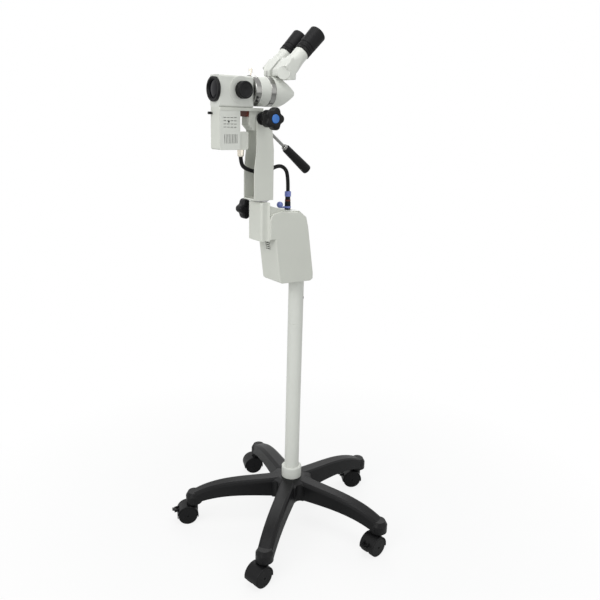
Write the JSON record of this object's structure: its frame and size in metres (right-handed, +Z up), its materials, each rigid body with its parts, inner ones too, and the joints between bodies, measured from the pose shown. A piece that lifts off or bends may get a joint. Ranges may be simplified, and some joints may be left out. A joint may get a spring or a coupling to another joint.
{
  "type": "colposcope",
  "caption": "Binocular colposcope head with lamp box, tilt handle and clamp knobs on a column with a rolling star base.",
  "frame": {"origin": "column axis at floor level, the middle of the star base", "axes": "+Z up along the column, -Y towards the patient the way the objective looks, +X the side of the round tilt knob"},
  "size_m": [0.6177, 0.621, 1.3898],
  "materials": {
    "warm_grey_paint": "satin powder coat",
    "white_paint": "satin paint",
    "black_nylon": "fine moulded",
    "black_rubber": "matt",
    "dark_chrome": "polished",
    "nickel": "bright nickel",
    "blue_plastic": "gloss",
    "blue_ring": "gloss",
    "glass": "coated glass",
    "red_brown": "matt",
    "dark_steel": "oiled",
    "steel": "machined",
    "wheel_grey": "matt tread"
  },
  "bodies": {
    "stand": {"star_base": "black_nylon", "column_collar": "white_paint", "lower_column": "white_paint", "upper_column": "white_paint", "column_set_screw": "dark_steel", "housing_shell": "warm_grey_paint", "housing_cover": "warm_grey_paint", "power_supply": "steel", "arm_socket": "warm_grey_paint", "lead_connector": "black_nylon", "lead_lower": "black_rubber"},
    "bush": {"clamp_bush": "steel", "lead_middle": "black_rubber"},
    "arm": {"arm_post": "steel", "tilt_arm": "warm_grey_paint", "tilt_axle": "steel"},
    "head": {"tilt_block": "warm_grey_paint", "tilt_pad": "red_brown", "handle_rod": "dark_chrome", "handle_grip": "black_rubber", "head_shelf": "warm_grey_paint", "lamp_box": "warm_grey_paint", "lamp_side_panel": "white_paint", "led_module": "steel", "lamp_gland": "nickel", "optics_body": "white_paint", "objective_ring": "black_nylon", "objective_lens": "glass", "dovetail_ring": "dark_chrome", "binocular_drum": "white_paint", "lock_ring": "dark_chrome", "lead_upper": "black_rubber"},
    "binocular": {"binocular_base": "white_paint"},
    "prism_pair_right": {"prism_right": "white_paint", "eyepiece_right": "black_rubber"},
    "prism_pair_left": {"prism_left": "white_paint", "eyepiece_left": "black_rubber"},
    "diopter_ring_right": {"diopter_right": "black_nylon"},
    "diopter_ring_left": {"diopter_left": "black_nylon"},
    "tilt_clamp": {"tilt_knob": "black_nylon", "knob_cap": "blue_plastic"},
    "socket_clamp": {"socket_knob": "black_nylon"},
    "connector_catch": {"connector_lever": "blue_ring"},
    "magnifier": {"magnification_drum": "dark_steel", "magnification_knobs": "black_nylon"},
    "filter": {"filter_knob": "black_nylon"},
    "thumbscrew": {"ring_thumbscrew": "nickel"},
    "swivel_front": {"caster_fork_front": "black_nylon"},
    "wheels_front": {"caster_wheels_front": "wheel_grey"},
    "swivel_right": {"caster_fork_right": "black_nylon"},
    "wheels_right": {"caster_wheels_right": "wheel_grey"},
    "brake_right": {"caster_brake_right": "black_nylon"},
    "swivel_back": {"caster_fork_back": "black_nylon"},
    "wheels_back": {"caster_wheels_back": "wheel_grey"},
    "brake_back": {"caster_brake_back": "black_nylon"},
    "swivel_far": {"caster_fork_far": "black_nylon"},
    "wheels_far": {"caster_wheels_far": "wheel_grey"},
    "swivel_left": {"caster_fork_left": "black_nylon"},
    "wheels_left": {"caster_wheels_left": "wheel_grey"},
    "brake_left": {"caster_brake_left": "black_nylon"}
  },
  "joints": [
    {"name": "swivel_front", "type": "hinge", "parent": "stand", "child": "swivel_front", "pos_m": [0.18641, -0.22215, 0.05], "axis": [0, 0, 1], "continuous": true},
    {"name": "roll_front", "type": "hinge", "parent": "swivel_front", "child": "wheels_front", "pos_m": [0.18988, -0.24185, 0.028], "axis": [0.9848, 0.1736, 0], "continuous": true},
    {"name": "swivel_right", "type": "hinge", "parent": "stand", "child": "swivel_right", "pos_m": [0.26888, 0.10864, 0.05], "axis": [0, 0, 1], "continuous": true},
    {"name": "roll_right", "type": "hinge", "parent": "swivel_right", "child": "wheels_right", "pos_m": [0.27063, 0.08871, 0.028], "axis": [0.9962, 0.0872, 0], "continuous": true},
    {"name": "brake_right", "type": "hinge", "parent": "swivel_right", "child": "brake_right", "pos_m": [0.27368, 0.05384, 0.04], "axis": [0.9962, 0.0872, 0], "range_deg": [0, 20]},
    {"name": "swivel_back", "type": "hinge", "parent": "stand", "child": "swivel_back", "pos_m": [-0.02023, 0.28929, 0.05], "axis": [0, 0, 1], "continuous": true},
    {"name": "roll_back", "type": "hinge", "parent": "swivel_back", "child": "wheels_back", "pos_m": [-0.03023, 0.27197, 0.028], "axis": [0.866, -0.5, 0], "continuous": true},
    {"name": "brake_back", "type": "hinge", "parent": "swivel_back", "child": "brake_back", "pos_m": [-0.04773, 0.24166, 0.04], "axis": [0.866, -0.5, 0], "range_deg": [0, 20]},
    {"name": "swivel_far", "type": "hinge", "parent": "stand", "child": "swivel_far", "pos_m": [-0.28139, 0.07016, 0.05], "axis": [0, 0, 1], "continuous": true},
    {"name": "roll_far", "type": "hinge", "parent": "swivel_far", "child": "wheels_far", "pos_m": [-0.28888, 0.05161, 0.028], "axis": [0.9272, -0.3746, 0], "continuous": true},
    {"name": "swivel_left", "type": "hinge", "parent": "stand", "child": "swivel_left", "pos_m": [-0.15368, -0.24593, 0.05], "axis": [0, 0, 1], "continuous": true},
    {"name": "roll_left", "type": "hinge", "parent": "swivel_left", "child": "wheels_left", "pos_m": [-0.16181, -0.26421, 0.028], "axis": [0.9135, -0.4067, 0], "continuous": true},
    {"name": "brake_left", "type": "hinge", "parent": "swivel_left", "child": "brake_left", "pos_m": [-0.17605, -0.29618, 0.04], "axis": [0.9135, -0.4067, 0], "range_deg": [0, 20]},
    {"name": "arm_pan", "type": "hinge", "parent": "stand", "child": "bush", "pos_m": [0, -0.118, 0.9], "axis": [0, 0, 1], "range_deg": [-60, 60], "deforming": ["lead_lower"]},
    {"name": "arm_lift", "type": "slide", "parent": "bush", "child": "arm", "axis": [0, 0, 1], "range_m": [0, 0.05], "deforming": ["lead_middle"]},
    {"name": "head_tilt", "type": "hinge", "parent": "arm", "child": "head", "pos_m": [0, -0.136, 1.1716], "axis": [1, 0, 0], "range_deg": [-15, 40], "deforming": ["lead_upper"]},
    {"name": "binocular_turn", "type": "hinge", "parent": "head", "child": "binocular", "pos_m": [0, -0.1, 1.2345], "axis": [0, 1, 0], "range_deg": [-90, 90]},
    {"name": "ipd_right", "type": "slide", "parent": "binocular", "child": "prism_pair_right", "axis": [1, 0, 0], "range_m": [-0.0045, 0.0045]},
    {"name": "ipd_left", "type": "slide", "parent": "binocular", "child": "prism_pair_left", "axis": [1, 0, 0], "range_m": [-0.0045, 0.0045]},
    {"name": "diopter_right", "type": "hinge", "parent": "prism_pair_right", "child": "diopter_ring_right", "pos_m": [0.0324, -0.0832, 1.2702], "axis": [0, 0.7071, 0.7071], "range_deg": [-60, 60]},
    {"name": "diopter_left", "type": "hinge", "parent": "prism_pair_left", "child": "diopter_ring_left", "pos_m": [-0.0324, -0.0832, 1.2702], "axis": [0, 0.7071, 0.7071], "range_deg": [-60, 60]},
    {"name": "tilt_clamp_turn", "type": "hinge", "parent": "arm", "child": "tilt_clamp", "pos_m": [0.05, -0.136, 1.1716], "axis": [1, 0, 0], "range_deg": [0, 180]},
    {"name": "socket_clamp_turn", "type": "hinge", "parent": "stand", "child": "socket_clamp", "pos_m": [-0.05, -0.1265, 0.944], "axis": [-1, 0, 0], "range_deg": [0, 180]},
    {"name": "connector_lock", "type": "hinge", "parent": "stand", "child": "connector_catch", "pos_m": [0, -0.035, 0.945], "axis": [0, 0, 1], "range_deg": [0, 60]},
    {"name": "magnification", "type": "hinge", "parent": "head", "child": "magnifier", "pos_m": [0, -0.193, 1.2345], "axis": [1, 0, 0], "continuous": true},
    {"name": "filter_slide", "type": "slide", "parent": "head", "child": "filter", "axis": [0, -1, 0], "range_m": [0, 0.008]},
    {"name": "thumbscrew_turn", "type": "hinge", "parent": "head", "child": "thumbscrew", "pos_m": [0, -0.1525, 1.27], "axis": [0, 0, 1], "range_deg": [0, 180]}
  ],
  "couplings": [
    {"joint": "ipd_left", "follows": "ipd_right", "ratio": -1}
  ]
}
